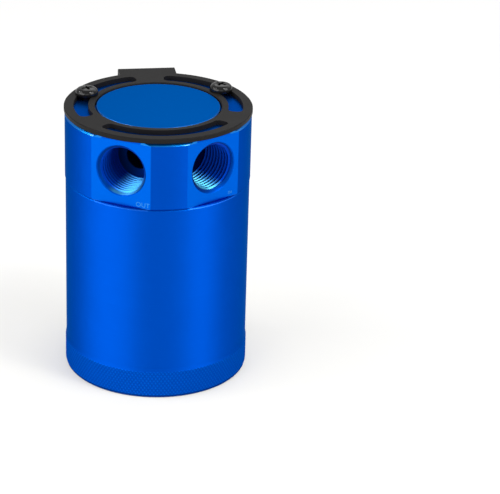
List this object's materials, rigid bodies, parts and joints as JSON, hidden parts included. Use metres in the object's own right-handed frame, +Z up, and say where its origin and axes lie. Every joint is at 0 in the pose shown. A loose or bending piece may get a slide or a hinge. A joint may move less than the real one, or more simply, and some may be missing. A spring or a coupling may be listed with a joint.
{
  "type": "oil catch can",
  "caption": "Cylindrical blue anodised catch can with a threaded head, two angled side ports, baffled inside, hung from a black slotted ring bracket with a bent leg.",
  "frame": {"origin": "centre of the foot ring, on the can's axis and on the surface that the can stands on", "axes": "+Z up the can's axis, -Y between the two ports, +Y towards the bracket's leg, +X to the right seen from the ports' side"},
  "size_m": [0.077, 0.0847, 0.1178],
  "materials": {
    "blue_anodised": "satin blue anodised, fine turned grain",
    "black_coat": "satin black powder coat",
    "black_steel": "glossy black oxide",
    "bare_aluminium": "turned",
    "bright_steel": "plain",
    "wire_mesh": "knitted wire",
    "turned_brass": "turned",
    "sintered_bronze": "sintered, grainy",
    "seal_rubber": "smooth",
    "seal_washer": "plain"
  },
  "bodies": {
    "head": {"head": "blue_anodised", "bracket_screw_left": "black_steel", "bracket_screw_right": "black_steel", "inlet_tube": "bare_aluminium", "filter_base": "turned_brass", "filter_element": "sintered_bronze", "upper_baffle": "bare_aluminium", "lower_baffle": "bare_aluminium", "mesh_pad": "wire_mesh", "long_spacer_1": "bare_aluminium", "long_spacer_2": "bare_aluminium", "long_spacer_3": "bare_aluminium", "short_spacer_1": "bare_aluminium", "short_spacer_2": "bare_aluminium", "short_spacer_3": "bare_aluminium", "baffle_screw_1": "bright_steel", "baffle_screw_2": "bright_steel", "baffle_screw_3": "bright_steel"},
    "bracket": {"bracket": "black_coat"},
    "reservoir_seal": {"reservoir_seal": "seal_rubber"},
    "reservoir": {"reservoir": "blue_anodised"},
    "drain_seal": {"drain_seal": "seal_washer"},
    "drain_plug": {"drain_plug": "black_steel"}
  },
  "joints": [
    {"name": "bracket_swivel", "type": "hinge", "parent": "head", "child": "bracket", "pos_m": [0, 0, 0.114], "axis": [0, 0, 1], "range_deg": [-42, 42]},
    {"name": "reservoir_travel", "type": "slide", "parent": "head", "child": "reservoir_seal", "axis": [0, 0, -1], "range_m": [0, 0.00826]},
    {"name": "reservoir_turn", "type": "hinge", "parent": "reservoir_seal", "child": "reservoir", "pos_m": [0, 0, 0], "axis": [0, 0, -1], "range_deg": [0, 1980]},
    {"name": "drain_travel", "type": "slide", "parent": "reservoir", "child": "drain_seal", "axis": [0, 0, -1], "range_m": [0, 0.00501]},
    {"name": "drain_turn", "type": "hinge", "parent": "drain_seal", "child": "drain_plug", "pos_m": [0, 0, 0], "axis": [0, 0, -1], "range_deg": [0, 1800]}
  ],
  "couplings": [
    {"joint": "reservoir_travel", "follows": "reservoir_turn", "m_per_rad": 0.00023873},
    {"joint": "drain_travel", "follows": "drain_turn", "m_per_rad": 0.00015915}
  ]
}
